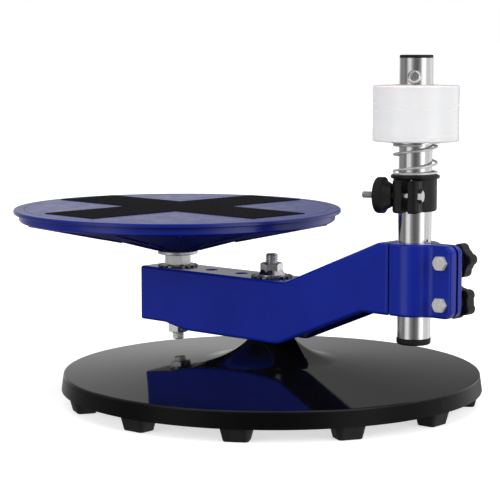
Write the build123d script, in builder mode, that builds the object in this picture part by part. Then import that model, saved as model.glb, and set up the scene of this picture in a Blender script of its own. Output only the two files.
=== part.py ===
"""Table-top stand that wraps bowls with stretch film: round base, bent arm, turntable, post and film roll.

Units are millimetres. The origin is on the table under the middle of the whole footprint, +X runs along
the arm from the turntable to the post, and +Z is up.
"""

import os
from math import cos, radians, sin, sqrt

from build123d import *

os.makedirs("parts", exist_ok=True)

# Layout along the arm, as distances from the base's own axis
platter_r = 136.9
spindle_offset = 105.0
post_offset = 142.0
arm_end_offset = 181.2
clamp_bolt_offset = 172.0
knob_lobe_ring_r = 8.8
knob_lobe_r = 4.3
knob_reach_offset = clamp_bolt_offset + knob_lobe_ring_r + knob_lobe_r
base_x = (spindle_offset + platter_r + knob_reach_offset) / 2 - knob_reach_offset
spindle_x = base_x - spindle_offset
post_x = base_x + post_offset
arm_end_x = base_x + arm_end_offset

# Round base
foot_height = 10.7
foot_count = 12
foot_ring_r = 156.0
foot_phase = 2.0
foot_width = 19.0
foot_depth = 15.0
foot_flare = 15.0
foot_corner_r = 3.0
foot_edge_r = 1.0
rim_bottom_r = 169.0
rim_top_r = 167.2
rim_top_z = 23.9
cone_end_r = 54.0
cone_end_z = 32.6
neck_top_r = 18.5
neck_top_z = 49.0
neck_roof = 4.0
cover_skin = 2.6
rim_edge_r = 1.4
ballast_thickness = 5.0
ballast_r = 165.3
ballast_hole_r = 20.0
base_bolt_top_z = 117.8
base_head_height = 6.4
base_nut_flats = 16.0
base_nut_height = 10.2
base_nut_turn = 41.2
base_flange_r = 11.0
base_flange_edge = 1.0
base_flange_top_r = 7.9
base_flange_height = 5.1

# Arm channel: an inverted U bent upwards towards the post
arm_half_width = 20.0
arm_sheet = 3.0
arm_left_offset = -130.2
arm_top_z = 99.0
arm_bottom_z = 49.0
arm_raised_bottom_z = 53.6
raised_end_offset = -102.7
raised_start_offset = -77.6
top_bend_offset = 29.0
bottom_bend_offset = 23.0
top_level_offset = 122.5
bottom_level_offset = 107.0
clamp_top_z = 137.8
clamp_bottom_z = 83.3
channel_end_offset = 131.9
top_bend_r = 16.0
top_level_r = 12.0
bottom_bend_r = 18.0
raised_bend_r = 6.0
arm_corner_r = 1.5
arm_edge_r = 2.5
arm_end_edge_r = 1.6
spare_hole_offsets = (-66.0, -32.7)
foot_plate_end_offset = -88.0
spacer_r = 12.0

# Split clamp that holds the post
clamp_start_offset = 132.7
clamp_r = 19.3
clamp_edge_r = 2.2
clamp_start_edge_r = 1.0
ear_half_width = 7.5
ear_blend_r = 9.0
ear_corner_r = 7.0
clamp_gap = 2.6
tongue_start_offset = 104.0
tongue_half_width = 16.9
tongue_top_z = 122.0
tongue_step = 3.0
clamp_bolt_x = base_x + clamp_bolt_offset
clamp_bolt_heights = (93.9, 125.0)
clamp_bolt_r = 3.0
clamp_bolt_flats = 10.0
clamp_bolt_head = 4.0
clamp_bolt_end = 20.0
clamp_washer_thickness = 1.2
clamp_washer_r = 6.2
knob_start = ear_half_width + clamp_washer_thickness + 0.15
knob_grip_start = knob_start + 2.6
knob_end = knob_start + 12.8
knob_lobes = 5
knob_hub_r = 7.2
knob_grip_r = 10.6
knob_insert_r = 5.0
knob_insert_depth = 9.0
knob_ring_depth = 0.6

# Post and its caps
post_r = 12.5
post_wall = 1.5
post_bottom_z = 65.7
post_top_z = 275.0
sliding_gap = 0.05
cap_flange_r = 12.95
bottom_cap_thickness = 4.9
top_cap_thickness = 2.2
stop_screw_z = 261.0
stop_screw_turn = 30.6
stop_screw_r = 3.0
stop_head_r = 5.25
stop_head_height = 3.3
stop_socket_flats = 4.0
stop_socket_z = 1.2

# Spindle and ball bearing
thread_r = 5.0
thread_pitch = 1.75
thread_depth = 0.95
hole_play = 0.3
washer_thickness = 1.4
lock_washer_r = 16.7
lock_washer_teeth = 18
lock_tooth_depth = 3.0
lock_tooth_gap = 2.6
spindle_low_z = 37.1
hex_low_z = arm_top_z + washer_thickness
hex_high_z = 109.6
spindle_hex_flats = 19.0
spindle_hex_turn = 33.6
journal_r = 6.0
hub_washer_r = 16.9
hub_washer_top_z = 112.4
bearing_low_z = 115.5
bearing_width = 10.0
bearing_r = 16.0
ball_ring_r = 11.0
ball_r = 2.9
ball_count = 8
race_gap = 0.1
spindle_high_z = 137.0

# Turntable
platter_top_z = 148.4
platter_thickness = 3.5
platter_under_z = platter_top_z - platter_thickness
skirt_r = 132.3
skirt_low_z = 139.4
shell_skin = 3.0
step_r = 66.0
step_low_z = 125.2
step_high_z = 126.1
cone_low_r = 20.0
cone_low_z = 114.3
shell_edge_r = 130.9
shell_edge_z = 138.4
rib_count = 16
rib_width = 2.4
rib_height = 1.4
rib_root = 1.0
hub_r = 17.0
hub_low_z = 112.9
groove_r = 128.0
groove_width = 0.7
groove_depth = 0.5
strip_thickness = 0.8
strip_width = 60.0
strip_length = 238.0
strip_turn = 87.0
strip_shift = (-6.5, 7.0)

# Height collar, its screw and knob
collar_low_z = 161.4
collar_high_z = 185.8
collar_r = 16.3
collar_turn = 20.0
ear_reach = 27.5
collar_ear_half_width = 10.2
collar_ear_high_z = 185.2
collar_corner_r = 4.5
collar_low_edge_r = 2.0
collar_slit = 5.0
collar_bolt_reach = 21.0
collar_bolt_z = 174.2
collar_bolt_r = 2.5
collar_bolt_flats = 8.0
collar_bolt_far_end = -34.2
collar_thread_start = -25.0
collar_thread_pitch = 0.8
collar_thread_depth = 0.4
side_knob_gap = 0.3
side_knob_r = 13.5
side_knob_length = 13.1
side_knob_disc_start = 6.3
seat_r = 18.3
seat_high_z = 188.4

# Spring, pressure washer and film roll
spring_wire_r = 0.8
spring_coil_r = 16.05
spring_low_z = seat_high_z
spring_high_z = 211.9
spring_start_turn = 216.9
pressure_washer_r = 18.2
pressure_washer_top_z = 213.1
core_inner_r = 14.0
core_outer_r = 19.0
core_high_z = 255.2
film_r = 32.2
film_low_z = 213.5
film_high_z = 254.8


def upright(x):
    """Plane on the table whose normal is the vertical axis at x."""
    return Plane(origin=(x, 0, 0), x_dir=(1, 0, 0), z_dir=(0, 0, 1))


def along_y(x, z):
    """Plane whose normal points to the front (-Y) from the point (x, 0, z)."""
    return Plane(origin=(x, 0, z), x_dir=(1, 0, 0), z_dir=(0, -1, 0))


def turned(plane, points, mode=Mode.ADD):
    """Turn a closed outline of (radius, height) points about the plane's normal."""
    normal = plane.x_dir.cross(plane.z_dir)
    with BuildSketch(Plane(origin=plane.origin, x_dir=plane.x_dir, z_dir=normal)) as outline:
        with BuildLine():
            Polyline(*points, close=True)
        make_face()
    revolve(outline.sketch, axis=Axis(plane.origin, plane.z_dir), mode=mode)


def rims(body, radius):
    """Circular edges of a body that have the given radius."""
    circles = body.edges().filter_by(GeomType.CIRCLE)
    return circles.filter_by(lambda edge: abs(edge.radius - radius) < 0.01)


def tube(plane, inner_r, outer_r, low, high, mode=Mode.ADD):
    """Straight ring between two heights along the plane's normal."""
    turned(plane, [(inner_r, low), (outer_r, low), (outer_r, high), (inner_r, high)], mode)


def hex_bar(plane, flats, low, high, turn=0.0, mode=Mode.ADD):
    """Hexagonal prism with the given width across its flats."""
    with BuildSketch(plane.offset(low)) as outline:
        RegularPolygon(flats / 2, 6, major_radius=False, rotation=turn)
    extrude(outline.sketch, amount=high - low, mode=mode)


def trim_corners(plane, flats, face, inward):
    """Cone cut that trims the hexagon's corners at one end face; inward is +1 or -1."""
    start_r = 0.48 * flats
    end_r = 0.62 * flats
    drop = inward * (end_r - start_r) * 0.577
    turned(plane, [(start_r, face), (end_r, face), (end_r, face + drop)], Mode.SUBTRACT)


def hex_nut(plane, flats, low, high, bore_r, turn=0.0):
    """Plain hexagon nut with both faces trimmed and a through bore."""
    hex_bar(plane, flats, low, high, turn)
    trim_corners(plane, flats, high, -1)
    trim_corners(plane, flats, low, 1)
    tube(plane, 0, bore_r, low, high, Mode.SUBTRACT)


def threaded_edge(radius, low, high, pitch, depth):
    """Saw-tooth (radius, height) points of a thread's side, from low to high."""
    turns = int((high - low) / pitch)
    points = []
    for number in range(turns):
        start = low + number * pitch
        points.append((radius, start + 0.1 * pitch))
        points.append((radius - depth, start + 0.5 * pitch))
        points.append((radius, start + 0.9 * pitch))
    return points


def tooth_washer(plane, inner_r, low):
    """Lock washer with teeth round its outer edge."""
    tube(plane, inner_r, lock_washer_r, low, low + washer_thickness)
    with BuildSketch(plane.offset(low)) as gaps:
        with PolarLocations(lock_washer_r, lock_washer_teeth):
            Rectangle(2 * lock_tooth_depth, lock_tooth_gap)
    extrude(gaps.sketch, amount=washer_thickness, mode=Mode.SUBTRACT)


def nearest(vertices, x, y):
    """Vertex of a sketch closest to the point (x, y) of its plane."""
    return vertices.sort_by_distance((x, y, 0))[0]


def export(body, name):
    body.label = name
    export_step(body, f"parts/{name}.step")


base_axis = upright(base_x)
spindle_axis = upright(spindle_x)
post_axis = upright(post_x)

# Base cover: thin gloss shell with a shallow cone that sweeps up into the neck
with BuildPart() as base_cover:
    with BuildSketch(Plane.XZ) as cover_outline:
        with BuildLine():
            Polyline(
                (cone_end_r, cone_end_z),
                (rim_top_r, rim_top_z),
                (rim_bottom_r, foot_height),
                (rim_bottom_r - cover_skin, foot_height),
                (rim_top_r - cover_skin, rim_top_z - cover_skin),
                (cone_end_r, cone_end_z - cover_skin),
            )
            TangentArc(
                (cone_end_r, cone_end_z),
                (neck_top_r, neck_top_z),
                tangent=(cone_end_r - rim_top_r, cone_end_z - rim_top_z),
            )
            TangentArc(
                (cone_end_r, cone_end_z - cover_skin),
                (neck_top_r - neck_roof, neck_top_z - neck_roof),
                tangent=(cone_end_r - rim_top_r, cone_end_z - rim_top_z),
            )
            Polyline(
                (neck_top_r, neck_top_z),
                (thread_r + hole_play, neck_top_z),
                (thread_r + hole_play, neck_top_z - neck_roof),
                (neck_top_r - neck_roof, neck_top_z - neck_roof),
            )
        make_face()
    revolve(axis=Axis.Z)
    fillet(rims(base_cover, rim_top_r), radius=rim_edge_r)
base_cover.part = base_cover.part.moved(Location((base_x, 0, 0)))
export(base_cover.part, "base_cover")

# Steel plate that closes the cover from below and weighs the stand down
with BuildPart() as base_ballast:
    tube(base_axis, ballast_hole_r, ballast_r, foot_height, foot_height + ballast_thickness)
export(base_ballast.part, "base_ballast")

# Rubber feet, wider where they meet the base
with BuildPart() as base_feet:
    with BuildSketch(Plane.XY):
        with Locations((base_x, 0)):
            with PolarLocations(foot_ring_r, foot_count, start_angle=foot_phase):
                RectangleRounded(foot_depth, foot_width, foot_corner_r)
    extrude(amount=foot_height, taper=-foot_flare)
    fillet(base_feet.edges().group_by(Axis.Z)[0], radius=foot_edge_r)
export(base_feet.part, "base_feet")

# Base bolt: head inside the neck, threaded end standing above the arm
base_nut_low_z = arm_top_z + washer_thickness
base_nut_high_z = base_nut_low_z + base_nut_height
base_bolt_seat_z = neck_top_z - neck_roof
with BuildPart() as base_bolt:
    turned(
        base_axis,
        [(0, base_bolt_seat_z), (thread_r, base_bolt_seat_z)]
        + threaded_edge(thread_r, base_nut_high_z, base_bolt_top_z - 1.2, thread_pitch, thread_depth)
        + [(thread_r, base_bolt_top_z - 1.0), (thread_r - 1.0, base_bolt_top_z), (0, base_bolt_top_z)],
    )
    hex_bar(base_axis, base_nut_flats, base_bolt_seat_z - base_head_height, base_bolt_seat_z)
    trim_corners(base_axis, base_nut_flats, base_bolt_seat_z - base_head_height, 1)
export(base_bolt.part, "base_bolt")

with BuildPart() as base_lock_washer:
    tooth_washer(base_axis, thread_r + hole_play, arm_top_z)
export(base_lock_washer.part, "base_lock_washer")

# Flange nut on the base bolt
with BuildPart() as base_flange_nut:
    hex_bar(base_axis, base_nut_flats, base_nut_low_z, base_nut_high_z, base_nut_turn)
    trim_corners(base_axis, base_nut_flats, base_nut_high_z, -1)
    turned(
        base_axis,
        [
            (0, base_nut_low_z),
            (base_flange_r, base_nut_low_z),
            (base_flange_r, base_nut_low_z + base_flange_edge),
            (base_flange_top_r, base_nut_low_z + base_flange_height),
            (0, base_nut_low_z + base_flange_height),
        ],
    )
    tube(base_axis, 0, thread_r, base_nut_low_z, base_nut_high_z, Mode.SUBTRACT)
export(base_flange_nut.part, "base_flange_nut")

# Arm channel seen from the side, then hollowed from below
arm_rise = (clamp_top_z - arm_top_z) / (top_level_offset - top_bend_offset)
web_drop = arm_sheet * sqrt(1 + arm_rise**2)
cavity_bend_offset = top_bend_offset + (web_drop - arm_sheet) / arm_rise
cavity_level_offset = top_level_offset + (web_drop - arm_sheet) / arm_rise
with BuildPart() as arm_channel:
    with BuildSketch(Plane.XZ) as arm_side:
        with BuildLine():
            Polyline(
                (base_x + arm_left_offset, arm_top_z),
                (base_x + top_bend_offset, arm_top_z),
                (base_x + top_level_offset, clamp_top_z),
                (base_x + channel_end_offset, clamp_top_z),
                (base_x + channel_end_offset, clamp_bottom_z),
                (base_x + bottom_level_offset, clamp_bottom_z),
                (base_x + bottom_bend_offset, arm_bottom_z),
                (base_x + raised_start_offset, arm_bottom_z),
                (base_x + raised_end_offset, arm_raised_bottom_z),
                (base_x + arm_left_offset, arm_raised_bottom_z),
                close=True,
            )
        make_face()
        for offset, height, bend_r in (
            (top_bend_offset, arm_top_z, top_bend_r),
            (top_level_offset, clamp_top_z, top_level_r),
            (bottom_level_offset, clamp_bottom_z, raised_bend_r),
            (bottom_bend_offset, arm_bottom_z, bottom_bend_r),
            (raised_start_offset, arm_bottom_z, raised_bend_r),
            (raised_end_offset, arm_raised_bottom_z, raised_bend_r),
            (arm_left_offset, arm_top_z, arm_corner_r),
            (arm_left_offset, arm_raised_bottom_z, arm_corner_r),
        ):
            fillet(nearest(arm_side.vertices(), base_x + offset, height), radius=bend_r)
    extrude(amount=arm_half_width, both=True)
    top_edges = arm_channel.edges().filter_by(
        lambda e: abs(abs(e.center().Y) - arm_half_width) < 0.01
        and e.center().Z > arm_top_z - 0.2
        and e.center().X < base_x + channel_end_offset - 0.1
    )
    fillet(top_edges, radius=arm_edge_r)
    end_edges = arm_channel.edges().filter_by(
        lambda e: e.center().X > base_x + channel_end_offset - 0.01 and e.center().Z > clamp_bottom_z + 1
    )
    fillet(end_edges, radius=arm_end_edge_r)
    with BuildSketch(Plane.XZ) as cavity_side:
        with BuildLine():
            Polyline(
                (base_x + arm_left_offset - 5, arm_top_z - arm_sheet),
                (base_x + cavity_bend_offset, arm_top_z - arm_sheet),
                (base_x + cavity_level_offset, clamp_top_z - arm_sheet),
                (base_x + channel_end_offset + 5, clamp_top_z - arm_sheet),
                (base_x + channel_end_offset + 5, arm_bottom_z - 5),
                (base_x + arm_left_offset - 5, arm_bottom_z - 5),
                close=True,
            )
        make_face()
        cavity_bend = nearest(cavity_side.vertices(), base_x + cavity_bend_offset, arm_top_z - arm_sheet)
        fillet(cavity_bend, radius=top_bend_r + arm_sheet)
        cavity_level = nearest(cavity_side.vertices(), base_x + cavity_level_offset, clamp_top_z - arm_sheet)
        fillet(cavity_level, radius=top_level_r - arm_sheet)
    extrude(amount=arm_half_width - arm_sheet, both=True, mode=Mode.SUBTRACT)
    for offset in (-spindle_offset, *spare_hole_offsets, 0):
        hole_axis = upright(base_x + offset)
        tube(hole_axis, 0, thread_r + hole_play, arm_top_z - 2 * arm_sheet, arm_top_z + 1, Mode.SUBTRACT)
    tube(post_axis, 0, post_r + 0.8, clamp_bottom_z, clamp_top_z + 1, Mode.SUBTRACT)
export(arm_channel.part, "arm_channel")

# Flat plate welded between the channel's sides under the spindle
with BuildPart() as arm_foot_plate:
    plate_length = foot_plate_end_offset - arm_left_offset - 1
    with BuildSketch(Plane.XY.offset(arm_raised_bottom_z)):
        with Locations((base_x + arm_left_offset + 1 + plate_length / 2, 0)):
            Rectangle(plate_length, 2 * (arm_half_width - arm_sheet))
    extrude(amount=arm_sheet)
    plate_top_z = arm_raised_bottom_z + arm_sheet
    tube(spindle_axis, 0, thread_r + hole_play, arm_raised_bottom_z, plate_top_z, Mode.SUBTRACT)
export(arm_foot_plate.part, "arm_foot_plate")

# Spacer tube that carries the base bolt's pull through the channel
with BuildPart() as arm_spacer:
    tube(base_axis, thread_r + hole_play, spacer_r, neck_top_z, arm_top_z - arm_sheet)
export(arm_spacer.part, "arm_spacer")

# Split clamp: bulges round the post, then runs out into two flat ears
ear_meet_x = post_x + sqrt(clamp_r**2 - ear_half_width**2)
with BuildPart() as arm_clamp:
    with BuildSketch(Plane.XY.offset(clamp_bottom_z)) as clamp_plan:
        with Locations((post_x, 0)):
            Circle(clamp_r)
        with Locations(((base_x + clamp_start_offset + post_x) / 2, 0)):
            Rectangle(post_x - base_x - clamp_start_offset, 2 * clamp_r)
        with Locations(((post_x + arm_end_x) / 2, 0)):
            Rectangle(arm_end_x - post_x, 2 * ear_half_width)
        with Locations((base_x + clamp_start_offset - clamp_r, 0)):
            Rectangle(2 * clamp_r, 2 * clamp_r, mode=Mode.SUBTRACT)
        for side in (-1, 1):
            fillet(nearest(clamp_plan.vertices(), ear_meet_x, side * ear_half_width), radius=ear_blend_r)
    extrude(amount=clamp_top_z - clamp_bottom_z)
    end_edges = arm_clamp.edges().filter_by(Axis.Y).filter_by(lambda e: e.center().X > arm_end_x - 0.1)
    fillet(end_edges, radius=ear_corner_r)
    ear_round_x = arm_end_x - ear_corner_r - 1
    outer_edges = arm_clamp.edges().filter_by(
        lambda e: e.center().X > base_x + clamp_start_offset + 0.5
        and abs(e.center().Y) > ear_half_width - 0.05
        and not (clamp_bottom_z + 1 < e.center().Z < clamp_top_z - 1 and e.center().X < ear_round_x)
    )
    fillet(outer_edges, radius=clamp_edge_r)
    start_edges = arm_clamp.edges().filter_by(lambda e: e.center().X < base_x + clamp_start_offset + 0.01)
    fillet(start_edges, radius=clamp_start_edge_r)
    tongue_bottom_z = clamp_bottom_z + tongue_step
    tongue_length = clamp_start_offset + clamp_start_edge_r - tongue_start_offset
    with BuildSketch(Plane.XY.offset(tongue_bottom_z)):
        with Locations((base_x + tongue_start_offset + tongue_length / 2, 0)):
            Rectangle(tongue_length, 2 * tongue_half_width)
    extrude(amount=tongue_top_z - tongue_bottom_z)
    tube(post_axis, 0, post_r + sliding_gap, clamp_bottom_z - 1, clamp_top_z + 1, Mode.SUBTRACT)
    with BuildSketch(Plane.XY.offset(clamp_bottom_z - 1)):
        with Locations(((post_x + arm_end_x) / 2 + 1, 0)):
            Rectangle(arm_end_x - post_x + 2, clamp_gap)
    extrude(amount=clamp_top_z - clamp_bottom_z + 2, mode=Mode.SUBTRACT)
    for height in clamp_bolt_heights:
        bolt_line = along_y(clamp_bolt_x, height)
        tube(bolt_line, 0, clamp_bolt_r + 0.2, -ear_half_width - 1, ear_half_width + 1, Mode.SUBTRACT)
export(arm_clamp.part, "arm_clamp")

# Clamp bolts: hexagon heads at the front, threaded ends inside the knobs at the back
with BuildPart() as clamp_bolts:
    for height in clamp_bolt_heights:
        bolt_line = along_y(clamp_bolt_x, height)
        tube(bolt_line, 0, clamp_bolt_r, -clamp_bolt_end, ear_half_width)
        hex_bar(bolt_line, clamp_bolt_flats, ear_half_width, ear_half_width + clamp_bolt_head)
        trim_corners(bolt_line, clamp_bolt_flats, ear_half_width + clamp_bolt_head, -1)
export(clamp_bolts.part, "clamp_bolts")

with BuildPart() as clamp_washers:
    for height in clamp_bolt_heights:
        bolt_line = along_y(clamp_bolt_x, height)
        washer_back = -ear_half_width - clamp_washer_thickness
        tube(bolt_line, clamp_bolt_r + 0.2, clamp_washer_r, washer_back, -ear_half_width)
export(clamp_washers.part, "clamp_washers")


def lobed_knob(knob, height, turn):
    """Star knob on a clamp bolt: short hub, lobed grip, bores for its insert and bolt, a ring at its end."""
    bolt_line = along_y(clamp_bolt_x, height)
    with BuildSketch(bolt_line.offset(-knob_end)) as grip:
        Circle(knob_grip_r)
        with PolarLocations(knob_lobe_ring_r, knob_lobes, start_angle=turn):
            Circle(knob_lobe_r)
        fillet(grip.vertices(), radius=2.4)
    extrude(grip.sketch, amount=knob_end - knob_grip_start)
    fillet(knob.edges().group_by(Axis.Y)[-1], radius=2.0)
    fillet(knob.edges().group_by(Axis.Y)[0], radius=1.0)
    tube(bolt_line, 0, knob_hub_r, -knob_grip_start, -knob_start)
    tube(bolt_line, 0, knob_insert_r, -knob_start - knob_insert_depth, -knob_start, Mode.SUBTRACT)
    tube(bolt_line, 0, clamp_bolt_r + 0.4, -clamp_bolt_end - 1.0, -knob_start, Mode.SUBTRACT)
    ring_depth_z = -knob_end + knob_ring_depth
    tube(bolt_line, knob_hub_r - 1.8, knob_hub_r, -knob_end, ring_depth_z, Mode.SUBTRACT)


def knob_insert(height):
    """Threaded metal bush pressed into a clamp knob."""
    bolt_line = along_y(clamp_bolt_x, height)
    tube(bolt_line, clamp_bolt_r + sliding_gap, knob_insert_r, -knob_start - knob_insert_depth, -knob_start)


lower_bolt_z, upper_bolt_z = clamp_bolt_heights
with BuildPart() as clamp_knob_upper:
    lobed_knob(clamp_knob_upper, upper_bolt_z, 8.0)
export(clamp_knob_upper.part, "clamp_knob_upper")

with BuildPart() as clamp_knob_lower:
    lobed_knob(clamp_knob_lower, lower_bolt_z, -33.0)
export(clamp_knob_lower.part, "clamp_knob_lower")

with BuildPart() as knob_insert_upper:
    knob_insert(upper_bolt_z)
export(knob_insert_upper.part, "knob_insert_upper")

with BuildPart() as knob_insert_lower:
    knob_insert(lower_bolt_z)
export(knob_insert_lower.part, "knob_insert_lower")

# Spindle: threaded below, hexagon collar on the arm, plain journal for the bearing
with BuildPart() as spindle:
    turned(
        spindle_axis,
        [(0, spindle_low_z), (thread_r - 1.0, spindle_low_z), (thread_r, spindle_low_z + 1.0)]
        + threaded_edge(thread_r, spindle_low_z + 1.2, arm_raised_bottom_z + 3, thread_pitch, thread_depth)
        + [
            (thread_r, hex_low_z),
            (journal_r, hex_low_z + 1),
            (journal_r, spindle_high_z - 1.0),
            (journal_r - 1.0, spindle_high_z),
            (0, spindle_high_z),
        ],
    )
    hex_bar(spindle_axis, spindle_hex_flats, hex_low_z, hex_high_z, spindle_hex_turn)
    trim_corners(spindle_axis, spindle_hex_flats, hex_low_z, 1)
export(spindle.part, "spindle")

with BuildPart() as spindle_lock_washer:
    tooth_washer(spindle_axis, thread_r + hole_play, arm_top_z)
export(spindle_lock_washer.part, "spindle_lock_washer")

lower_washer_z = arm_raised_bottom_z - 2.0
with BuildPart() as spindle_lower_washer:
    tube(spindle_axis, thread_r + hole_play, 10.2, lower_washer_z, arm_raised_bottom_z)
export(spindle_lower_washer.part, "spindle_lower_washer")

with BuildPart() as spindle_lower_nut:
    hex_nut(spindle_axis, 16.0, lower_washer_z - 8.2, lower_washer_z, thread_r, 12.0)
export(spindle_lower_nut.part, "spindle_lower_nut")

with BuildPart() as hub_washer:
    tube(spindle_axis, journal_r, hub_washer_r, hex_high_z, hub_washer_top_z)
    fillet(rims(hub_washer, hub_washer_r), radius=0.6)
export(hub_washer.part, "hub_washer")

# Ball bearing: both races, the balls between them, the spacer below and the nut above
bearing_high_z = bearing_low_z + bearing_width
with BuildPart() as bearing_spacer:
    tube(spindle_axis, journal_r, 8.4, hub_washer_top_z, bearing_low_z)
export(bearing_spacer.part, "bearing_spacer")

groove_circle_r = ball_r + race_gap
with BuildPart() as bearing_inner_race:
    tube(spindle_axis, journal_r, 9.2, bearing_low_z, bearing_high_z)
    with Locations((spindle_x, 0, bearing_low_z + bearing_width / 2)):
        Torus(ball_ring_r, groove_circle_r, mode=Mode.SUBTRACT)
export(bearing_inner_race.part, "bearing_inner_race")

with BuildPart() as bearing_outer_race:
    tube(spindle_axis, 12.8, bearing_r, bearing_low_z, bearing_high_z)
    with Locations((spindle_x, 0, bearing_low_z + bearing_width / 2)):
        Torus(ball_ring_r, groove_circle_r, mode=Mode.SUBTRACT)
export(bearing_outer_race.part, "bearing_outer_race")

with BuildPart() as bearing_balls:
    with Locations((spindle_x, 0, bearing_low_z + bearing_width / 2)):
        with PolarLocations(ball_ring_r, ball_count):
            Sphere(ball_r)
export(bearing_balls.part, "bearing_balls")

with BuildPart() as spindle_top_nut:
    hex_nut(spindle_axis, 18.0, bearing_high_z, bearing_high_z + 7.0, journal_r)
export(spindle_top_nut.part, "spindle_top_nut")

# Turntable shell: outer skirt and the stepped cone that narrows down to the hub
with BuildPart() as platter_shell:
    turned(
        spindle_axis,
        [
            (skirt_r, platter_under_z),
            (skirt_r, skirt_low_z),
            (shell_edge_r, shell_edge_z),
            (step_r, step_low_z),
            (step_r - 0.6, step_high_z),
            (cone_low_r, cone_low_z),
            (hub_r, hub_low_z + 0.4),
            (hub_r - 0.4, hub_low_z),
            (9.6, hub_low_z),
            (9.6, bearing_low_z),
            (bearing_r, bearing_low_z),
            (bearing_r, bearing_high_z + 1.6),
            (bearing_r + 3.4, bearing_high_z + 1.6),
            (bearing_r + 3.4, 117.6),
            (step_r - 1.0, 129.4),
            (skirt_r - shell_skin, 142.4),
            (skirt_r - shell_skin, platter_under_z),
        ],
    )
    fillet(rims(platter_shell, skirt_r).sort_by(Axis.Z)[0], radius=1.2)
    for number in range(rib_count):
        rib_angle = radians(360 * number / rib_count)
        outward = Vector(cos(rib_angle), sin(rib_angle), 0)
        sideways = outward.cross(Vector(0, 0, 1))
        for inner_r, inner_z, outer_r, outer_z in (
            (cone_low_r, cone_low_z, step_r - 0.6, step_high_z),
            (step_r, step_low_z, shell_edge_r, shell_edge_z),
        ):
            with BuildSketch(Plane(origin=(spindle_x, 0, 0), x_dir=outward, z_dir=sideways)) as rib_side:
                with BuildLine():
                    Polyline(
                        (inner_r, inner_z - rib_height),
                        (outer_r, outer_z - rib_root * rib_height / 2),
                        (outer_r, outer_z + rib_root),
                        (inner_r, inner_z + rib_root),
                        close=True,
                    )
                make_face()
            extrude(rib_side.sketch, amount=rib_width / 2, both=True)
export(platter_shell.part, "platter_shell")

# Turntable top: flat disc with a fine ring groove and a boss that holds the bearing down
with BuildPart() as platter_disc:
    tube(spindle_axis, 0, platter_r, platter_under_z, platter_top_z)
    rim = platter_disc.edges().filter_by(GeomType.CIRCLE).sort_by(Axis.Z)
    fillet(rim[-1], radius=1.3)
    fillet(rim[0], radius=1.0)
    tube(spindle_axis, 13.4, bearing_r - 0.1, bearing_high_z, platter_under_z)
    tube(
        spindle_axis,
        groove_r - groove_width / 2,
        groove_r + groove_width / 2,
        platter_top_z - groove_depth,
        platter_top_z,
        Mode.SUBTRACT,
    )
export(platter_disc.part, "platter_disc")

# Anti-slip strips: one full length, the other in two halves that butt against it
strip_plane = Plane(
    origin=(spindle_x + strip_shift[0], strip_shift[1], platter_top_z),
    x_dir=(cos(radians(strip_turn)), sin(radians(strip_turn)), 0),
    z_dir=(0, 0, 1),
)
with BuildPart() as grip_strip_long:
    with BuildSketch(strip_plane):
        Rectangle(strip_length, strip_width)
    extrude(amount=strip_thickness)
export(grip_strip_long.part, "grip_strip_long")

half_strip = (strip_length - strip_width) / 2 - 0.4
with BuildPart() as grip_strip_halves:
    with BuildSketch(strip_plane):
        for side in (-1, 1):
            with Locations((0, side * (strip_length - half_strip) / 2)):
                Rectangle(strip_width, half_strip)
    extrude(amount=strip_thickness)
export(grip_strip_halves.part, "grip_strip_halves")

# Post: polished tube with a hole for the stop screw
stop_angle = radians(stop_screw_turn)
stop_line = Plane(
    origin=(post_x, 0, stop_screw_z),
    x_dir=(0, 0, 1),
    z_dir=(sin(stop_angle), -cos(stop_angle), 0),
)
stop_head_z = post_r + stop_head_height
with BuildPart() as post_tube:
    tube(post_axis, post_r - post_wall, post_r, post_bottom_z, post_top_z)
    tube(stop_line, 0, stop_screw_r + sliding_gap, post_r / 2, post_r + 2, Mode.SUBTRACT)
export(post_tube.part, "post_tube")

with BuildPart() as post_top_cap:
    turned(
        post_axis,
        [
            (0, post_top_z - 8),
            (post_r - post_wall, post_top_z - 8),
            (post_r - post_wall, post_top_z),
            (post_r, post_top_z),
            (post_r, post_top_z + top_cap_thickness),
            (0, post_top_z + top_cap_thickness),
        ],
    )
    fillet(rims(post_top_cap, post_r).sort_by(Axis.Z)[-1], radius=1.0)
export(post_top_cap.part, "post_top_cap")

with BuildPart() as post_bottom_cap:
    turned(
        post_axis,
        [
            (0, post_bottom_z + 14),
            (post_r - post_wall, post_bottom_z + 14),
            (post_r - post_wall, post_bottom_z),
            (cap_flange_r, post_bottom_z),
            (cap_flange_r, post_bottom_z - bottom_cap_thickness),
            (0, post_bottom_z - bottom_cap_thickness),
        ],
    )
    fillet(rims(post_bottom_cap, cap_flange_r).sort_by(Axis.Z)[0], radius=2.0)
export(post_bottom_cap.part, "post_bottom_cap")

# Stop screw: domed head with a hexagon socket, just above the roll
with BuildPart() as stop_screw:
    tube(stop_line, 0, stop_screw_r, 3.0, post_r)
    tube(stop_line, 0, stop_head_r, post_r, stop_head_z)
    dome_edge = rims(stop_screw, stop_head_r).sort_by(lambda e: -e.center().Y)[-1]
    fillet(dome_edge, radius=2.6)
    hex_bar(stop_line, stop_socket_flats, post_r + stop_socket_z, stop_head_z + 1, 0.0, Mode.SUBTRACT)
export(stop_screw.part, "stop_screw")

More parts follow.
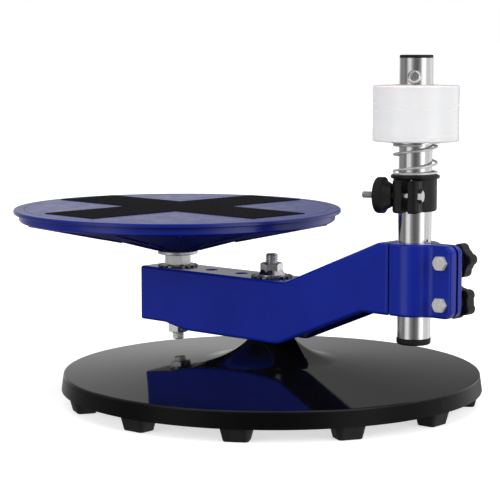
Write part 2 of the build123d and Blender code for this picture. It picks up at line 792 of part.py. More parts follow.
# Collar: split ring with two ears drawn together by a cross screw
collar_angle = radians(collar_turn)
across = Vector(cos(collar_angle), sin(collar_angle), 0)
forward = Vector(sin(collar_angle), -cos(collar_angle), 0)
collar_plane = Plane(origin=(post_x, 0, collar_low_z), x_dir=across, z_dir=(0, 0, 1))
collar_bolt_line = Plane(
    origin=Vector(post_x, 0, collar_bolt_z) + forward * collar_bolt_reach,
    x_dir=(0, 0, 1),
    z_dir=across,
)
with BuildPart() as collar:
    with BuildSketch(collar_plane):
        with Locations((0, -ear_reach / 2)):
            RectangleRounded(2 * collar_ear_half_width, ear_reach, collar_corner_r)
    extrude(amount=collar_ear_high_z - collar_low_z)
    tube(post_axis, 0, collar_r, collar_low_z, collar_high_z)
    fillet(collar.edges().group_by(Axis.Z)[0], radius=collar_low_edge_r)
    tube(post_axis, 0, post_r + sliding_gap, collar_low_z - 1, collar_high_z + 1, Mode.SUBTRACT)
    with BuildSketch(collar_plane.offset(-1)):
        with Locations((0, -(ear_reach + 6) / 2)):
            Rectangle(collar_slit, ear_reach + 6)
    extrude(amount=collar_high_z - collar_low_z + 2, mode=Mode.SUBTRACT)
    tube(collar_bolt_line, 0, collar_bolt_r + 0.2, -20, 20, Mode.SUBTRACT)
    tube(collar_bolt_line, 0, 5.6, collar_ear_half_width - 1.0, 20, Mode.SUBTRACT)
export(collar.part, "collar")

bolt_head_low = collar_ear_half_width - 1.0
bolt_head_high = bolt_head_low + 3.2
collar_thread = threaded_edge(
    collar_bolt_r, collar_bolt_far_end + 1, collar_thread_start, collar_thread_pitch, collar_thread_depth
)
with BuildPart() as collar_bolt:
    turned(
        collar_bolt_line,
        [(0, bolt_head_low), (collar_bolt_r, bolt_head_low), (collar_bolt_r, collar_thread_start)]
        + collar_thread[::-1]
        + [
            (collar_bolt_r, collar_bolt_far_end + 0.7),
            (collar_bolt_r - 0.6, collar_bolt_far_end),
            (0, collar_bolt_far_end),
        ],
    )
    hex_bar(collar_bolt_line, collar_bolt_flats, bolt_head_low, bolt_head_high)
    trim_corners(collar_bolt_line, collar_bolt_flats, bolt_head_high, -1)
export(collar_bolt.part, "collar_bolt")

# Side knob: short cone against the collar, then a flat disc
knob_face = -collar_ear_half_width - side_knob_gap
disc_face = knob_face - side_knob_disc_start
knob_back = knob_face - side_knob_length
with BuildPart() as collar_knob:
    turned(
        collar_bolt_line,
        [
            (4.6, knob_face),
            (8.0, knob_face),
            (11.5, disc_face),
            (side_knob_r, disc_face),
            (side_knob_r, knob_back),
            (4.6, knob_back),
        ],
    )
    knob_rims = rims(collar_knob, side_knob_r).sort_by(Axis.X)
    fillet(knob_rims[0], radius=2.4)
    fillet(knob_rims[-1], radius=0.8)
    tube(collar_bolt_line, 5.6, 6.4, knob_back, knob_back + knob_ring_depth, Mode.SUBTRACT)
export(collar_knob.part, "collar_knob")

with BuildPart() as collar_knob_insert:
    tube(collar_bolt_line, collar_bolt_r + sliding_gap, 4.6, knob_back, knob_face)
export(collar_knob_insert.part, "collar_knob_insert")

# Lipped seat ring under the spring
with BuildPart() as spring_seat:
    tube(post_axis, post_r + 0.4, seat_r, collar_high_z, seat_high_z)
    fillet(rims(spring_seat, seat_r), radius=0.9)
export(spring_seat.part, "spring_seat")


def spring_height(turns):
    """Height of the wire's centre after a number of turns: close, open, then close again."""
    low = spring_low_z + spring_wire_r
    high = spring_high_z - spring_wire_r
    first = 1.8
    last = 1.2
    if turns < 1.0:
        return low + first * turns
    if turns < 2.5:
        return low + first + (high - low - first - last) * (turns - 1.0) / 1.5
    return high - last + last * min(turns - 2.5, 0.8) / 0.8


# Compression spring: one close turn, an open middle, and a closed top turn
spring_points = []
for step in range(3 * 12 + 4):
    turn = step / 12
    angle = radians(spring_start_turn + 360 * turn)
    spring_points.append(
        (
            post_x + spring_coil_r * cos(angle),
            spring_coil_r * sin(angle),
            (spring_height(turn - 0.06) + spring_height(turn) + spring_height(turn + 0.06)) / 3,
        )
    )
with BuildPart() as spring:
    with BuildLine() as coil:
        Spline(*spring_points)
    with BuildSketch(Plane(origin=coil.line @ 0, z_dir=coil.line % 0)):
        Circle(spring_wire_r)
    sweep(path=coil.line, is_frenet=True)
export(spring.part, "spring")

with BuildPart() as pressure_washer:
    tube(post_axis, post_r + 0.4, pressure_washer_r, spring_high_z, pressure_washer_top_z)
export(pressure_washer.part, "pressure_washer")

# Film roll: stiff core with the wound film round it
with BuildPart() as film_core:
    tube(post_axis, core_inner_r, core_outer_r, pressure_washer_top_z + 0.1, core_high_z)
export(film_core.part, "film_core")

with BuildPart() as film_roll:
    tube(post_axis, core_outer_r, film_r, film_low_z, film_high_z)
    fillet(rims(film_roll, film_r), radius=0.5)
export(film_roll.part, "film_roll")
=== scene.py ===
import math
import random

import bmesh
import bpy
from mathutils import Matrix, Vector


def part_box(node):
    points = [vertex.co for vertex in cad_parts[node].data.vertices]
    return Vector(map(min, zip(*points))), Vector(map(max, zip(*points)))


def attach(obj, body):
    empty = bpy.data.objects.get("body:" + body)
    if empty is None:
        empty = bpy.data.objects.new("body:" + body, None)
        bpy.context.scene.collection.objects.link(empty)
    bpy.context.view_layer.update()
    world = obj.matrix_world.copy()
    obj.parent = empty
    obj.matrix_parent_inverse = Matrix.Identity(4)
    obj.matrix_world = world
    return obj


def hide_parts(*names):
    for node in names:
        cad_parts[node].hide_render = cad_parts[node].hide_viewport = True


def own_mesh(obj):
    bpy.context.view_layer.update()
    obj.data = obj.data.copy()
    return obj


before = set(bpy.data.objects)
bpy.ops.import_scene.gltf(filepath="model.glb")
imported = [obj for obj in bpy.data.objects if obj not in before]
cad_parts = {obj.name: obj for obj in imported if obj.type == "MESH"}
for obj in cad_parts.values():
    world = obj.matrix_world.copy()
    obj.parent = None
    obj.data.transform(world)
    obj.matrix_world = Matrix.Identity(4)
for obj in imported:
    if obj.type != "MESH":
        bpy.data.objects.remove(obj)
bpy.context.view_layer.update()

MM = 0.001

# Axes of the turning parts, read from the frame
base_x = sum(c.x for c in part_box("base_cover")) / 2
spindle_x = sum(c.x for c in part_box("platter_disc")) / 2
post_x = sum(c.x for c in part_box("post_tube")) / 2
base_axis = Vector((base_x, 0, 0))
spindle_axis = Vector((spindle_x, 0, 0))
post_axis = Vector((post_x, 0, 0))

# Heights where the paint changes: the skirt's lower edge and the top edge of the base's rim
SKIRT_BELOW_TOP = 9.0 * MM
RIM_HEIGHT = 13.2 * MM
skirt_low_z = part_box("platter_disc")[1].z - SKIRT_BELOW_TOP
rim_top_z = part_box("base_cover")[0].z + RIM_HEIGHT

# Viewpoint: a long lens, a little above the turntable, well round to the arm's right
VIEW_AZIMUTH = 41.9
VIEW_PITCH = 6.73
VIEW_LENS = 128.4
SENSOR = 36.0
CAMERA_FROM_BASE = (0.9358, -1.06905, 0.28831)


# ---------------------------------------------------------------- material helpers

def add(tree, kind, inputs=None, **settings):
    """A shader node with its settings, and its inputs given as values or as other nodes' outputs."""
    node = tree.nodes.new(kind)
    for key, value in settings.items():
        setattr(node, key, value)
    for key, value in (inputs or {}).items():
        if isinstance(value, bpy.types.NodeSocket):
            tree.links.new(value, node.inputs[key])
        else:
            node.inputs[key].default_value = value
    return node


def place(tree, centre=(0, 0, 0), stretch=(1, 1, 1)):
    """Position on the object in metres, measured from centre and stretched along each axis."""
    where = add(tree, "ShaderNodeTexCoord").outputs["Object"]
    moved = add(tree, "ShaderNodeVectorMath", {0: where, 1: centre}, operation="SUBTRACT").outputs[0]
    return add(tree, "ShaderNodeVectorMath", {0: moved, 1: stretch}, operation="MULTIPLY").outputs[0]


def noise(tree, where, size, detail=3.0, roughness=0.55):
    """Noise from 0 to 1 whose features are about size metres across."""
    inputs = {"Vector": where, "Scale": 1 / size, "Detail": detail, "Roughness": roughness}
    return add(tree, "ShaderNodeTexNoise", inputs).outputs[0]


def span(tree, value, low, high, start=0.3, end=0.7):
    """Value between start and end, brought to between low and high."""
    inputs = {"Value": value, "From Min": start, "From Max": end, "To Min": low, "To Max": high}
    return add(tree, "ShaderNodeMapRange", inputs).outputs[0]


def math_node(tree, operation, first, second=0.0):
    return add(tree, "ShaderNodeMath", {0: first, 1: second}, operation=operation).outputs[0]


def mixed(tree, share, first, second):
    """Colour between first (share 0) and second (share 1)."""
    node = add(tree, "ShaderNodeMix", {0: share}, data_type="RGBA")
    for index, value in ((6, first), (7, second)):
        if isinstance(value, bpy.types.NodeSocket):
            tree.links.new(value, node.inputs[index])
        else:
            node.inputs[index].default_value = (*value, 1)
    return node.outputs[2]


def soft_edges(tree, radius=0.0004):
    """Normal that rounds sharp edges by a small radius."""
    return add(tree, "ShaderNodeBevel", {"Radius": radius}, samples=4).outputs[0]


def bump(tree, height, distance, normal=None):
    """Surface relief of the given height in metres, on softened edges unless another normal is given."""
    inputs = {"Height": height, "Distance": distance, "Strength": 1.0}
    inputs["Normal"] = soft_edges(tree) if normal is None else normal
    return add(tree, "ShaderNodeBump", inputs).outputs[0]


def radius_from(tree, axis):
    """Distance from an upright axis."""
    flat = place(tree, axis, (1, 1, 0))
    return add(tree, "ShaderNodeVectorMath", {0: flat}, operation="LENGTH").outputs["Value"]


def material(name, build, **constants):
    """A material. Its build function links colour, roughness and normal; constants go on the shader."""
    made = bpy.data.materials.new(name)
    made.use_nodes = True
    tree = made.node_tree
    shader = tree.nodes["Principled BSDF"]
    for key, value in constants.items():
        shader.inputs[key.replace("_", " ")].default_value = value
    for key, value in build(tree).items():
        tree.links.new(value, shader.inputs[key])
    return made


# ---------------------------------------------------------------- materials

def paint(dark, light, roughness, peel_size, peel_height):
    """Sprayed gloss paint: faint colour drift, orange peel and fine polishing marks."""
    def build(tree):
        where = place(tree)
        drift = span(tree, noise(tree, where, 0.05, 2), 0, 1)
        haze = noise(tree, where, 0.012, 5, 0.65)
        peel = noise(tree, where, peel_size, 2)
        fine = noise(tree, where, 0.0006, 2)
        relief = bump(tree, peel, peel_height)
        return {
            "Base Color": mixed(tree, drift, dark, light),
            "Roughness": span(tree, haze, roughness, roughness * 1.7),
            "Normal": bump(tree, fine, peel_height * 0.02, relief),
        }
    return build


def two_coats(tree, gloss, below, coat, dull_coat, dullest):
    """Gloss paint that changes to a duller coat over the millimetre under a height."""
    made = gloss(tree)
    height = add(tree, "ShaderNodeSeparateXYZ", {0: place(tree)}).outputs[2]
    blend = (below - 1.0 * MM, below)
    dullness = span(tree, height, dullest, 0.0, *blend)
    made["Specular IOR Level"] = span(tree, height, dull_coat, coat, *blend)
    made["Roughness"] = math_node(tree, "MAXIMUM", made["Roughness"], dullness)
    return made


def shell_paint(tree):
    """The turntable's paint, with only a thin dull coat on the shell's underside, inside the skirt."""
    gloss = paint((0.0026, 0.0108, 0.185), (0.0036, 0.0133, 0.215), 0.15, 0.0022, 0.00001)
    return two_coats(tree, gloss, skirt_low_z - 0.2 * MM, 0.45, 0.2, 0.75)


def base_paint(tree):
    """Black gloss on the base's top, and a rougher, duller coat on its rim."""
    gloss = paint((0.0016, 0.0016, 0.0018), (0.0026, 0.0026, 0.003), 0.045, 0.003, 0.000004)
    return two_coats(tree, gloss, rim_top_z - 0.6 * MM, 0.42, 0.10, 0.3)


def plastic(dark, light, roughness, grain_size, grain_height):
    """Moulded plastic or rubber with a spark-eroded grain."""
    def build(tree):
        where = place(tree)
        drift = span(tree, noise(tree, where, 0.015, 3), 0, 1)
        grain = noise(tree, where, grain_size, 4, 0.7)
        rub = noise(tree, where, 0.006, 4, 0.6)
        return {
            "Base Color": mixed(tree, drift, dark, light),
            "Roughness": span(tree, rub, roughness, roughness * 1.35),
            "Normal": bump(tree, grain, grain_height),
        }
    return build


def metal(dark, light, roughness, stretch, line_size, line_height):
    """Worked metal: drawn or turned lines along one direction, with small stains."""
    def build(tree):
        lines = noise(tree, place(tree, (0, 0, 0), stretch), line_size, 5, 0.7)
        stains = noise(tree, place(tree), 0.006, 4, 0.6)
        tone = math_node(tree, "MULTIPLY", span(tree, lines, 0.2, 1), span(tree, stains, 0.6, 1))
        return {
            "Base Color": mixed(tree, tone, dark, light),
            "Roughness": span(tree, lines, roughness, roughness * 1.8),
            "Normal": bump(tree, lines, line_height),
        }
    return build


def turned_metal(axis, dark, light, roughness):
    """Metal faced on a lathe: fine rings about an upright axis."""
    rings_per_metre = 9000

    def build(tree):
        rings = math_node(tree, "MULTIPLY", radius_from(tree, axis), rings_per_metre)
        wave = math_node(tree, "SINE", rings)
        stains = noise(tree, place(tree), 0.005, 4, 0.6)
        return {
            "Base Color": mixed(tree, span(tree, stains, 0, 1), dark, light),
            "Roughness": span(tree, stains, roughness, roughness * 1.6),
            "Normal": bump(tree, wave, 0.000004),
        }
    return build


def wound_film(tree):
    """Stretch film wound many hundred times: rings on the ends, faint bands round the side."""
    radius = radius_from(tree, post_axis)
    layers_per_metre = 2600.0
    inputs = {"W": radius, "Scale": layers_per_metre, "Detail": 4.0}
    layers = add(tree, "ShaderNodeTexNoise", inputs, noise_dimensions="1D").outputs[0]
    bands = noise(tree, place(tree, post_axis, (0.15, 0.15, 1)), 0.006, 4, 0.6)
    cloud = noise(tree, place(tree, post_axis), 0.02, 3)
    tone = math_node(tree, "MULTIPLY", span(tree, layers, 0.35, 1), span(tree, cloud, 0.75, 1))
    relief = bump(tree, layers, 0.00006)
    return {
        "Base Color": mixed(tree, tone, (0.71, 0.71, 0.735), (0.84, 0.835, 0.835)),
        "Roughness": span(tree, bands, 0.16, 0.3),
        "Normal": bump(tree, bands, 0.00006, relief),
    }


def cardboard(tree):
    """Spirally wound tube with a fibrous surface."""
    where = place(tree, post_axis)
    fibres = noise(tree, place(tree, post_axis, (1, 1, 4)), 0.0012, 6, 0.7)
    cloud = noise(tree, where, 0.008, 3)
    tone = math_node(tree, "MULTIPLY", span(tree, fibres, 0.3, 1), span(tree, cloud, 0.7, 1))
    return {
        "Base Color": mixed(tree, tone, (0.42, 0.38, 0.31), (0.72, 0.69, 0.62)),
        "Roughness": span(tree, fibres, 0.75, 0.95),
        "Normal": bump(tree, fibres, 0.0001),
    }


def grip(tree):
    """Anti-slip rubber with lighter dust on its studs."""
    where = place(tree)
    dust = noise(tree, where, 0.0009, 4, 0.75)
    cloud = noise(tree, where, 0.03, 3)
    tone = math_node(tree, "MULTIPLY", span(tree, dust, 0, 1, 0.55, 0.75), span(tree, cloud, 0.3, 1))
    return {
        "Base Color": mixed(tree, tone, (0.0035, 0.0035, 0.005), (0.013, 0.012, 0.017)),
        "Roughness": span(tree, dust, 0.75, 0.95),
        "Normal": bump(tree, dust, 0.0001),
    }


blue_paint = material(
    "blue_gloss_paint",
    paint((0.0030, 0.0125, 0.215), (0.0042, 0.0155, 0.25), 0.15, 0.0022, 0.00001),
    Specular_IOR_Level=0.45,
)
arm_paint = material(
    "arm_gloss_paint",
    paint((0.0030, 0.0125, 0.215), (0.0042, 0.0155, 0.25), 0.10, 0.0022, 0.00001),
    Specular_IOR_Level=0.1,
    Coat_Weight=0.6,
    Coat_Roughness=0.03,
)
turntable_disc_paint = material(
    "turntable_disc_paint",
    paint((0.0026, 0.0105, 0.150), (0.0036, 0.0130, 0.175), 0.15, 0.0022, 0.00001),
    Specular_IOR_Level=0.45,
)
turntable_shell_paint = material("turntable_shell_paint", shell_paint)
black_gloss = material("black_gloss_paint", base_paint)
black_plastic = material(
    "black_moulded_plastic",
    plastic((0.0045, 0.0045, 0.005), (0.008, 0.008, 0.009), 0.38, 0.0005, 0.00003),
    Specular_IOR_Level=0.3,
)
rubber = material(
    "black_foot_rubber",
    plastic((0.005, 0.005, 0.005), (0.010, 0.010, 0.010), 0.5, 0.0006, 0.00005),
    Specular_IOR_Level=0.3,
)
yellow_zinc = material(
    "yellow_zinc_plate",
    metal((0.62, 0.625, 0.58), (0.97, 0.97, 0.93), 0.38, (1, 1, 1), 0.0020, 0.00014),
    Metallic=0.7,
)
grip_rubber = material("grip_rubber", grip, Specular_IOR_Level=0.12)
zinc = material(
    "bright_zinc_plate",
    metal((0.60, 0.60, 0.615), (0.90, 0.90, 0.90), 0.17, (1, 1, 1), 0.0016, 0.000012),
    Metallic=1.0,
)
zinc_turned = material(
    "turned_zinc_plate",
    turned_metal(spindle_axis, (0.72, 0.72, 0.73), (0.92, 0.92, 0.92), 0.34),
    Metallic=1.0,
)
satin_zinc = material(
    "satin_zinc_plate",
    metal((0.86, 0.865, 0.85), (0.99, 0.99, 0.97), 0.3, (1, 1, 0.04), 0.0010, 0.0003),
    Metallic=0.6,
)
post_steel = material(
    "polished_stainless",
    metal((0.56, 0.56, 0.57), (0.84, 0.83, 0.83), 0.07, (1, 1, 0.012), 0.0011, 0.0000022),
    Metallic=1.0,
)
ballast_steel = material(
    "rolled_steel_plate",
    metal((0.16, 0.16, 0.17), (0.34, 0.34, 0.35), 0.35, (0.15, 1, 1), 0.002, 0.00002),
    Metallic=1.0,
)
bearing_steel = material(
    "bearing_steel",
    turned_metal(spindle_axis, (0.55, 0.55, 0.57), (0.75, 0.75, 0.77), 0.12),
    Metallic=1.0,
)
# A dark base colour for the toothed lock washers.
dark_spring_steel = material(
    "dark_toned_spring_steel",
    metal((0.05, 0.05, 0.055), (0.34, 0.34, 0.35), 0.16, (1, 1, 1), 0.0014, 0.00001),
    Metallic=1.0,
)
spring_steel = material(
    "spring_wire",
    metal((0.78, 0.78, 0.79), (0.97, 0.97, 0.97), 0.3, (0.2, 0.2, 1), 0.0008, 0.000004),
    Metallic=0.75,
)
brass = material(
    "turned_brass",
    metal((0.46, 0.30, 0.10), (0.74, 0.53, 0.22), 0.2, (1, 0.1, 1), 0.0008, 0.000006),
    Metallic=1.0,
)
film = material(
    "wound_film",
    wound_film,
    Subsurface_Weight=0.25,
    Subsurface_Scale=0.003,
    Coat_Weight=0.3,
    Coat_Roughness=0.12,
)
core_card = material("core_cardboard", cardboard)

FINISHES = {
    "base_cover": black_gloss,
    "base_ballast": ballast_steel,
    "base_feet": rubber,
    "arm_channel": arm_paint,
    "arm_clamp": arm_paint,
    "arm_foot_plate": blue_paint,
    "arm_spacer": zinc,
    "platter_shell": turntable_shell_paint,
    "platter_disc": turntable_disc_paint,
    "spindle": satin_zinc,
    "clamp_bolts": yellow_zinc,
    "hub_washer": zinc_turned,
    "base_lock_washer": dark_spring_steel,
    "spindle_lock_washer": dark_spring_steel,
    "bearing_spacer": zinc_turned,
    "bearing_inner_race": bearing_steel,
    "bearing_outer_race": bearing_steel,
    "bearing_balls": bearing_steel,
    "grip_strip_long": grip_rubber,
    "grip_strip_halves": grip_rubber,
    "post_tube": post_steel,
    "post_top_cap": black_plastic,
    "post_bottom_cap": rubber,
    "collar": black_plastic,
    "collar_knob": black_plastic,
    "collar_knob_insert": brass,
    "spring_seat": black_plastic,
    "spring": spring_steel,
    "clamp_knob_upper": black_plastic,
    "clamp_knob_lower": black_plastic,
    "knob_insert_upper": brass,
    "knob_insert_lower": brass,
    "film_core": core_card,
    "film_roll": film,
    "pressure_washer": zinc,
}

for name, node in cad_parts.items():
    finish = FINISHES.get(name, zinc)
    if not node.material_slots:
        node.data.materials.append(finish)
    for slot in node.material_slots:
        slot.material = finish


# ---------------------------------------------------------------- detailed pieces

def piece(name, vertices, faces, finish, smooth=True):
    """A mesh object with one material."""
    mesh = bpy.data.meshes.new(name)
    mesh.from_pydata(vertices, [], faces)
    mesh.update()
    shape = bmesh.new()
    shape.from_mesh(mesh)
    bmesh.ops.recalc_face_normals(shape, faces=shape.faces)
    shape.to_mesh(mesh)
    shape.free()
    for face in mesh.polygons:
        face.use_smooth = smooth
    mesh.materials.append(finish)
    made = bpy.data.objects.new(name, mesh)
    bpy.context.scene.collection.objects.link(made)
    return made


def skin(name, rings, finish, closed=False):
    """Surface through rings of points: each ring is closed, and its two end rings are capped or joined."""
    count = len(rings[0])
    vertices = [point for ring in rings for point in ring]
    faces = []
    last = len(rings) if closed else len(rings) - 1
    for row in range(last):
        below = row * count
        above = (row + 1) % len(rings) * count
        for column in range(count):
            following = (column + 1) % count
            faces.append((below + column, below + following, above + following, above + column))
    if not closed:
        faces.append(tuple(reversed(range(count))))
        faces.append(tuple(range(len(vertices) - count, len(vertices))))
    return piece(name, vertices, faces, finish)


def base_bolt():
    """Base bolt with a true helical thread above its nut, and its hexagon head inside the neck."""
    low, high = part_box("base_bolt")
    nut_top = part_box("base_flange_nut")[1].z
    head_height = 6.4 * MM
    rod_r = 5.0 * MM
    pitch = 1.75 * MM
    depth = 0.95 * MM
    chamfer = 1.0 * MM
    flank_slope = 2.2
    crest_share = 1.0
    columns = 48
    rows_per_turn = 8
    thread_low = nut_top - 2 * MM
    thread_length = high.z - thread_low
    steps = int(thread_length / (pitch / rows_per_turn))
    heights = [low.z + head_height, thread_low]
    heights += [thread_low + thread_length * (step + 1) / steps for step in range(steps)]
    rings = []
    for height in heights:
        ring = []
        for column in range(columns):
            turn = column / columns
            radius = rod_r
            if height > thread_low:
                wave = abs(2 * ((height / pitch - turn) % 1.0) - 1)
                radius -= depth * min(1.0, max(0.0, flank_slope * wave - crest_share))
            radius = min(radius, rod_r - chamfer + (high.z - height))
            angle = 2 * math.pi * turn
            ring.append((base_x + radius * math.cos(angle), radius * math.sin(angle), height))
        rings.append(ring)
    rod = skin("base_bolt_thread", rings, zinc)
    corner_r = (high.x - low.x) / 2
    head_rings = []
    for height, share in ((0, 0.90), (0.9 * MM, 1.0), (head_height, 1.0)):
        head_rings.append([
            (
                base_x + share * corner_r * math.cos(math.radians(60 * side)),
                share * corner_r * math.sin(math.radians(60 * side)),
                low.z + height,
            )
            for side in range(6)
        ])
    head = skin("base_bolt_head", head_rings, zinc)
    for face in head.data.polygons:
        face.use_smooth = False
    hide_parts("base_bolt")
    for part in (rod, head):
        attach(part, "stand")


def coil_spring():
    """Wire spring between the seat ring and the pressure washer, built at the height of the spring's part.
    """
    low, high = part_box("spring")
    wire_r = 0.92 * MM
    coil_r = (high.x - low.x) / 2 - wire_r
    bottom = low.z + wire_r
    top = high.z - wire_r
    turns = 3.3
    steps_per_turn = 64
    start = math.radians(216.9)
    open_from = 1.0
    open_to = 2.5
    low_rise = 1.8 * MM
    high_rise = 1.2 * MM
    open_rise = top - bottom - (low_rise + high_rise)
    wire_sides = 12
    rings = []
    for step in range(int(turns * steps_per_turn) + 1):
        turn = step / steps_per_turn
        if turn < open_from:
            height = bottom + low_rise * turn
        elif turn < open_to:
            height = bottom + low_rise + open_rise * (turn - open_from) / (open_to - open_from)
        else:
            height = top - high_rise + high_rise * (turn - open_to) / (turns - open_to)
        angle = start + 2 * math.pi * turn
        outward = Vector((math.cos(angle), math.sin(angle), 0))
        centre = post_axis + outward * coil_r + Vector((0, 0, height))
        ring = []
        for column in range(wire_sides):
            around = 2 * math.pi * column / wire_sides
            sideways = outward * wire_r * math.cos(around)
            ring.append(centre + sideways + Vector((0, 0, wire_r * math.sin(around))))
        rings.append(ring)
    spring = skin("coil_spring", rings, spring_steel)
    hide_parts("spring")
    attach(spring, "height_collar")
    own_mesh(spring)


def film_roll():
    """Stretch film wound on its core: layers with uneven ends, rounded shoulders and a taut side."""
    low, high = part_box("film_roll")
    outer_r = (high.x - low.x) / 2
    inner_r = (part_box("film_core")[1].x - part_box("film_core")[0].x) / 2
    shoulder_r = 0.86 * MM
    shoulder_x = outer_r - 0.9 * MM
    shoulder_inset = 0.95 * MM
    shoulder_steps = 5
    side_inset = 1.0 * MM
    side_hollow = 0.16 * MM
    side_ripple = 0.05
    side_steps = 40
    layers = 26
    columns = 128
    chance = random.Random(7)
    profile = []
    for number in range(layers + 1):
        radius = inner_r + (shoulder_x - inner_r) * number / layers
        profile.append((radius, low.z + chance.uniform(0.02, 0.30) * MM))
    for part in range(1, shoulder_steps + 1):
        angle = math.pi / 2 * part / shoulder_steps
        across = shoulder_x + shoulder_r * math.sin(angle)
        profile.append((across, low.z + shoulder_inset - shoulder_r * math.cos(angle)))
    side_low = low.z + side_inset
    side_high = high.z - side_inset
    for number in range(1, side_steps):
        share = number / side_steps
        hollow = side_hollow * math.sin(math.pi * share) + chance.uniform(0, side_ripple) * MM
        profile.append((shoulder_x + shoulder_r - hollow, side_low + (side_high - side_low) * share))
    for part in range(shoulder_steps, 0, -1):
        angle = math.pi / 2 * part / shoulder_steps
        across = shoulder_x + shoulder_r * math.sin(angle)
        profile.append((across, high.z - shoulder_inset + shoulder_r * math.cos(angle)))
    for number in range(layers, -1, -1):
        radius = inner_r + (shoulder_x - inner_r) * number / layers
        profile.append((radius, high.z - chance.uniform(0.02, 0.45) * MM))
    rings = []
    for radius, height in profile:
        drift = chance.uniform(0, 2 * math.pi)
        lean = chance.uniform(0.0, 0.05) * MM
        ring = []
        for column in range(columns):
            turn = 2 * math.pi * column / columns
            level = min(high.z, max(low.z, height + lean * math.sin(turn + drift)))
            ring.append((post_x + radius * math.cos(turn), radius * math.sin(turn), level))
        rings.append(ring)
    roll = skin("wound_film_roll", rings, film, closed=True)
    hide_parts("film_roll")
    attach(roll, "roll")


def studded_strip(name, node, centre, size, turn):
    """Anti-slip strip: a thin rubber sheet whose top is pressed into a close grid of round studs."""
    low_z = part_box(node)[0].z
    high_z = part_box(node)[1].z
    stud_pitch = 2.4 * MM
    stud_top = 0.02 * MM
    sheet_top = 0.32 * MM
    edge_top = 0.42 * MM
    along = Vector((math.cos(turn), math.sin(turn), 0))
    across = Vector((-math.sin(turn), math.cos(turn), 0))
    columns = 2 * int(size[0] / stud_pitch) + 1
    rows = 2 * int(size[1] / stud_pitch) + 1
    vertices = []
    for row in range(rows):
        for column in range(columns):
            raised = row % 2 == 1 and column % 2 == 1
            edge = row in (0, rows - 1) or column in (0, columns - 1)
            height = high_z - (stud_top if raised else edge_top if edge else sheet_top)
            lengthwise = along * size[0] * (column / (columns - 1) - 0.5)
            sideways = across * size[1] * (row / (rows - 1) - 0.5)
            vertices.append(centre + lengthwise + sideways + Vector((0, 0, height)))
    faces = []
    for row in range(rows - 1):
        for column in range(columns - 1):
            corner = row * columns + column
            faces.append((corner, corner + 1, corner + columns + 1, corner + columns))
    border = list(range(columns))
    border += [row * columns + columns - 1 for row in range(1, rows)]
    border += [(rows - 1) * columns + column for column in range(columns - 2, -1, -1)]
    border += [row * columns for row in range(rows - 2, 0, -1)]
    start = len(vertices)
    for corner in border:
        vertices.append(Vector((vertices[corner].x, vertices[corner].y, low_z)))
    for number in range(len(border)):
        following = (number + 1) % len(border)
        faces.append((border[number], border[following], start + following, start + number))
    faces.append(tuple(start + number for number in range(len(border))))
    strip = piece(name, vertices, faces, grip_rubber, smooth=False)
    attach(strip, "turntable")
    return strip


def anti_slip_strips():
    """One whole strip, and two halves that butt against it from both sides."""
    turn = math.radians(87.0)
    length = 238.0 * MM
    width = 60.0 * MM
    joint_gap = 0.4 * MM
    middle = (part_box("grip_strip_long")[0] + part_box("grip_strip_long")[1]) / 2
    middle.z = 0
    whole = studded_strip("grip_strip_whole", "grip_strip_long", middle, (length, width), turn)
    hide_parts("grip_strip_long")
    half = (length - width) / 2 - joint_gap
    side = Vector((-math.sin(turn), math.cos(turn), 0))
    reach = (length - half) / 2
    size = (width, half)
    near = studded_strip("grip_strip_half_a", "grip_strip_halves", middle - side * reach, size, turn)
    studded_strip("grip_strip_half_b", "grip_strip_halves", middle + side * reach, size, turn)
    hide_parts("grip_strip_halves")


base_bolt()
coil_spring()
film_roll()
anti_slip_strips()


# ---------------------------------------------------------------- floor, light and camera

def studio_floor():
    """Pale floor with soft contact shadows. Reflections look through it to the studio's surroundings."""
    half_width = 60.0
    camera_glow = 0.6
    made = bpy.data.materials.new("studio_floor")
    made.use_nodes = True
    tree = made.node_tree
    shader = tree.nodes["Principled BSDF"]
    output = tree.nodes["Material Output"]
    cloud = noise(tree, place(tree), 0.4, 3)
    path = add(tree, "ShaderNodeLightPath").outputs
    seen = mixed(tree, cloud, (0.60, 0.60, 0.60), (0.62, 0.62, 0.62))
    colour = mixed(tree, path["Is Diffuse Ray"], seen, (0.10, 0.10, 0.10))
    tree.links.new(colour, shader.inputs["Base Color"])
    shader.inputs["Roughness"].default_value = 0.9
    shader.inputs["Specular IOR Level"].default_value = 0.1
    glow = add(tree, "ShaderNodeEmission", {"Color": (1, 1, 1, 1)})
    tree.links.new(math_node(tree, "MULTIPLY", path["Is Camera Ray"], camera_glow), glow.inputs["Strength"])
    lit = add(tree, "ShaderNodeAddShader", {0: shader.outputs[0], 1: glow.outputs[0]})
    clear = add(tree, "ShaderNodeBsdfTransparent")
    inputs = {0: path["Is Glossy Ray"], 1: lit.outputs[0], 2: clear.outputs[0]}
    choice = add(tree, "ShaderNodeMixShader", inputs)
    tree.links.new(choice.outputs[0], output.inputs["Surface"])
    mesh = bpy.data.meshes.new("studio_floor")
    shape = bmesh.new()
    bmesh.ops.create_grid(shape, x_segments=8, y_segments=8, size=half_width)
    shape.to_mesh(mesh)
    shape.free()
    floor = bpy.data.objects.new("studio_floor", mesh)
    bpy.context.scene.collection.objects.link(floor)
    mesh.materials.append(made)


# Soft panels round the object, seen only in reflections: the middle and the half width in degrees to the
# right of the viewpoint, and the brightness added to the room's own level
ROOM_LEVEL = 0.11
PANELS = {
    "right_fill": (22, 20, 0.10),
    "right_key": (47, 30, 1.22),
    "right_wall": (88, 52, 0.56),
    "right_back_wall": (132, 38, 0.66),
    "left_fill": (-32, 26, 0.12),
    "left_key": (-53, 29, 0.68),
    "left_wall": (-108, 46, 0.13),
    "back_wall": (-163, 42, 0.41),
}
PANEL_STEP = 10


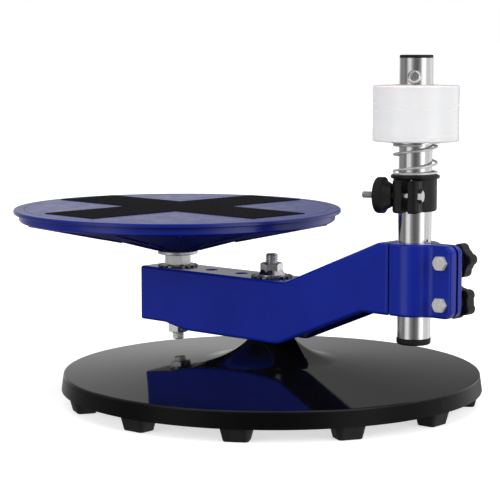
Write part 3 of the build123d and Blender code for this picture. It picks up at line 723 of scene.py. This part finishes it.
def panel_light(degrees_right):
    """The room's level and what each panel adds in this direction, fading softly towards its edges."""
    level = ROOM_LEVEL
    for middle, half_width, brightness in PANELS.values():
        away = abs((degrees_right - middle + 180) % 360 - 180) / half_width
        if away < 1:
            level += brightness * (1 + math.cos(math.pi * away)) / 2
    return level


def studio_world():
    """White to the eye, even light for lit surfaces, and the ring of panels in reflections."""
    world = bpy.data.worlds.new("studio")
    bpy.context.scene.world = world
    world.use_nodes = True
    tree = world.node_tree
    background = tree.nodes["Background"]
    direction = add(tree, "ShaderNodeTexCoord").outputs["Generated"]
    axes = add(tree, "ShaderNodeSeparateXYZ", {0: direction}).outputs
    angle = math_node(tree, "ARCTAN2", axes[0], math_node(tree, "MULTIPLY", axes[1], -1.0))
    turned = math_node(tree, "SUBTRACT", angle, math.radians(VIEW_AZIMUTH) + 3 * math.pi)
    around = math_node(tree, "FLOORED_MODULO", math_node(tree, "DIVIDE", turned, 2 * math.pi), 1.0)
    ring = add(tree, "ShaderNodeFloatCurve", {1: around})
    curve = ring.mapping.curves[0]
    levels = {degrees: panel_light(degrees) for degrees in range(-180, 181, PANEL_STEP)}
    brightest = max(levels.values())
    spots = [((degrees + 180) / 360, level / brightest) for degrees, level in levels.items()]
    curve.points[0].location = spots[0]
    curve.points[1].location = spots[-1]
    for spot in spots[1:-1]:
        curve.points.new(*spot)
    ring.mapping.update()
    panels = math_node(tree, "MULTIPLY", ring.outputs[0], brightest)
    ceiling_glow = 0.30
    above = span(tree, axes[2], 0, 1, 0.30, 0.70)
    ceiling = math_node(tree, "ADD", panels, math_node(tree, "MULTIPLY", above, ceiling_glow))
    fading = span(tree, axes[2], 0.75, 1, -0.240, -0.180)
    height_share = span(tree, axes[2], 1.25, 0.75, 0.0, 0.30)
    level = math_node(tree, "MULTIPLY", math_node(tree, "MULTIPLY", ceiling, fading), height_share)
    path = add(tree, "ShaderNodeLightPath").outputs
    glossy = mixed(tree, path["Is Glossy Ray"], (0.80, 0.80, 0.81), level)
    tree.links.new(mixed(tree, path["Is Camera Ray"], glossy, (1, 1, 1)), background.inputs["Color"])


def towards(degrees_right, elevation):
    """Direction from the object, in degrees to the right of the viewpoint and above the floor."""
    turn = math.radians(VIEW_AZIMUTH + degrees_right)
    rise = math.radians(elevation)
    return Vector((math.sin(turn) * math.cos(rise), -math.cos(turn) * math.cos(rise), math.sin(rise)))


LIGHTS_AIM_HEIGHT = 0.12


def softbox(name, degrees_right, elevation, distance, size, power):
    centre = Vector((0, 0, LIGHTS_AIM_HEIGHT))
    light = bpy.data.lights.new(name, "AREA")
    light.shape = "RECTANGLE"
    light.size, light.size_y = size
    light.energy = power
    box = bpy.data.objects.new(name, light)
    bpy.context.scene.collection.objects.link(box)
    box.visible_glossy = False
    direction = towards(degrees_right, elevation)
    box.location = centre + direction * distance
    box.rotation_euler = direction.to_track_quat("Z", "Y").to_euler()
    return box


def light_studio():
    studio_world()
    softbox("key_light", 52, 22, 3.2, (2.0, 1.6), 62)
    softbox("fill_light", -55, 14, 3.2, (2.0, 1.4), 60)
    softbox("top_light", 160, 75, 3.0, (2.4, 2.4), 40)


def set_camera():
    camera = bpy.data.objects.new("camera", bpy.data.cameras.new("camera"))
    bpy.context.scene.collection.objects.link(camera)
    camera.data.sensor_width = SENSOR
    camera.data.lens = VIEW_LENS
    camera.data.clip_end = 100.0
    camera.location = base_axis + Vector(CAMERA_FROM_BASE)
    camera.rotation_euler = towards(0, VIEW_PITCH).to_track_quat("Z", "Y").to_euler()
    bpy.context.scene.camera = camera


studio_floor()
light_studio()
set_camera()
bpy.context.scene.view_settings.view_transform = "Standard"
